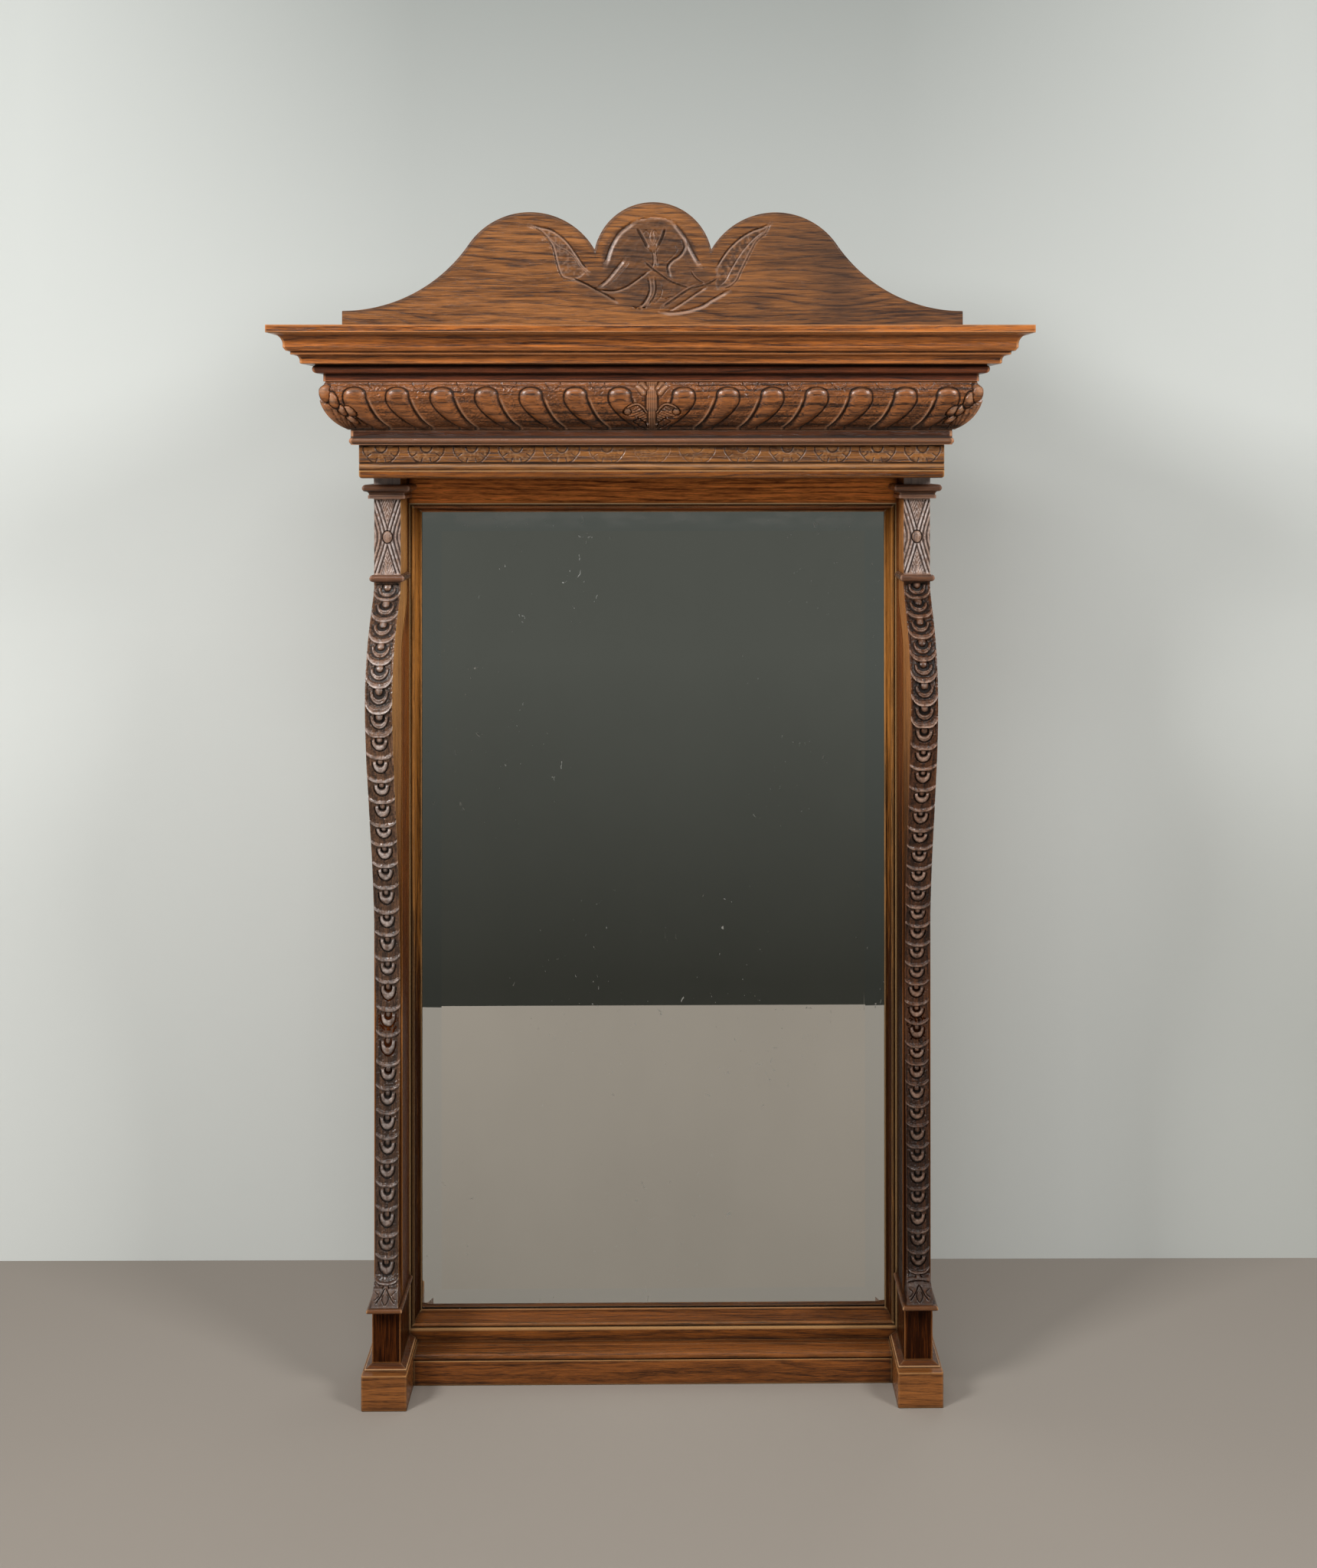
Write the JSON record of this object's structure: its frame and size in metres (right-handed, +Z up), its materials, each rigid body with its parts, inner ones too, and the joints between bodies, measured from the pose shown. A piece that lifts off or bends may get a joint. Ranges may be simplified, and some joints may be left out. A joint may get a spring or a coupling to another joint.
{
  "type": "carved wood mirror",
  "caption": "Tall bevelled mirror in a carved oak frame: serpentine posts on block feet carry a gadrooned entablature with a lobed pediment board.",
  "frame": {"origin": "middle of the bounding box in plan, on the floor plane under the feet", "axes": "+X to the right seen from the front, -Y out of the mirror's front, +Z up"},
  "size_m": [0.9076, 0.2674, 1.5],
  "materials": {
    "oak_posts": "dark oak, satin wax, upright grain",
    "oak_shafts": "dark carved oak, worn satin",
    "oak_feet": "mid brown oak, satin wax",
    "oak_mouldings": "dark oak, satin wax, level grain",
    "oak_cornice": "mid brown oak, satin wax, level grain",
    "oak_carved": "dark carved oak, worn satin",
    "oak_pediment": "mid brown carved oak, worn satin",
    "pine": "bare aged softwood",
    "mirror_glass": "silvered bevelled glass",
    "dark_steel": "dull dark steel"
  },
  "bodies": {
    "root": {"glass_plate": "mirror_glass", "glazing_slips": "pine", "backing_board_lower": "pine", "backing_board_middle": "pine", "backing_board_upper": "pine", "backing_pins": "dark_steel", "left_stile": "oak_posts", "right_stile": "oak_posts", "top_rail": "oak_mouldings", "bottom_rail": "oak_mouldings", "sight_moulding_left": "oak_mouldings", "sight_moulding_right": "oak_mouldings", "sight_moulding_top": "oak_mouldings", "sight_moulding_bottom": "oak_mouldings", "left_post": "oak_posts", "right_post": "oak_posts", "left_shaft": "oak_shafts", "right_shaft": "oak_shafts", "left_panel_block": "oak_shafts", "right_panel_block": "oak_shafts", "left_capital": "oak_mouldings", "right_capital": "oak_mouldings", "left_ring": "oak_mouldings", "right_ring": "oak_mouldings", "left_plinth_cap": "oak_mouldings", "right_plinth_cap": "oak_mouldings", "left_pedestal": "oak_posts", "right_pedestal": "oak_posts", "left_base_moulding": "oak_mouldings", "right_base_moulding": "oak_mouldings", "left_foot_block": "oak_feet", "right_foot_block": "oak_feet", "plinth_board": "oak_mouldings", "plinth_ledge": "oak_mouldings", "plinth_blocks": "pine", "soffit_board": "oak_mouldings", "frieze_front": "oak_carved", "frieze_left_return": "oak_carved", "frieze_right_return": "oak_carved", "astragal_front": "oak_mouldings", "astragal_left": "oak_mouldings", "astragal_right": "oak_mouldings", "gadroon_front": "oak_carved", "gadroon_left": "oak_carved", "gadroon_right": "oak_carved", "bed_moulding_front": "oak_mouldings", "bed_moulding_left": "oak_mouldings", "bed_moulding_right": "oak_mouldings", "crown_front": "oak_cornice", "crown_left": "oak_cornice", "crown_right": "oak_cornice", "cornice_board": "oak_cornice", "pediment_board": "oak_pediment", "pediment_cleats": "pine", "pediment_screws": "dark_steel", "corner_blocks": "pine", "dowels": "pine", "post_screws": "dark_steel"}
  },
  "joints": []
}
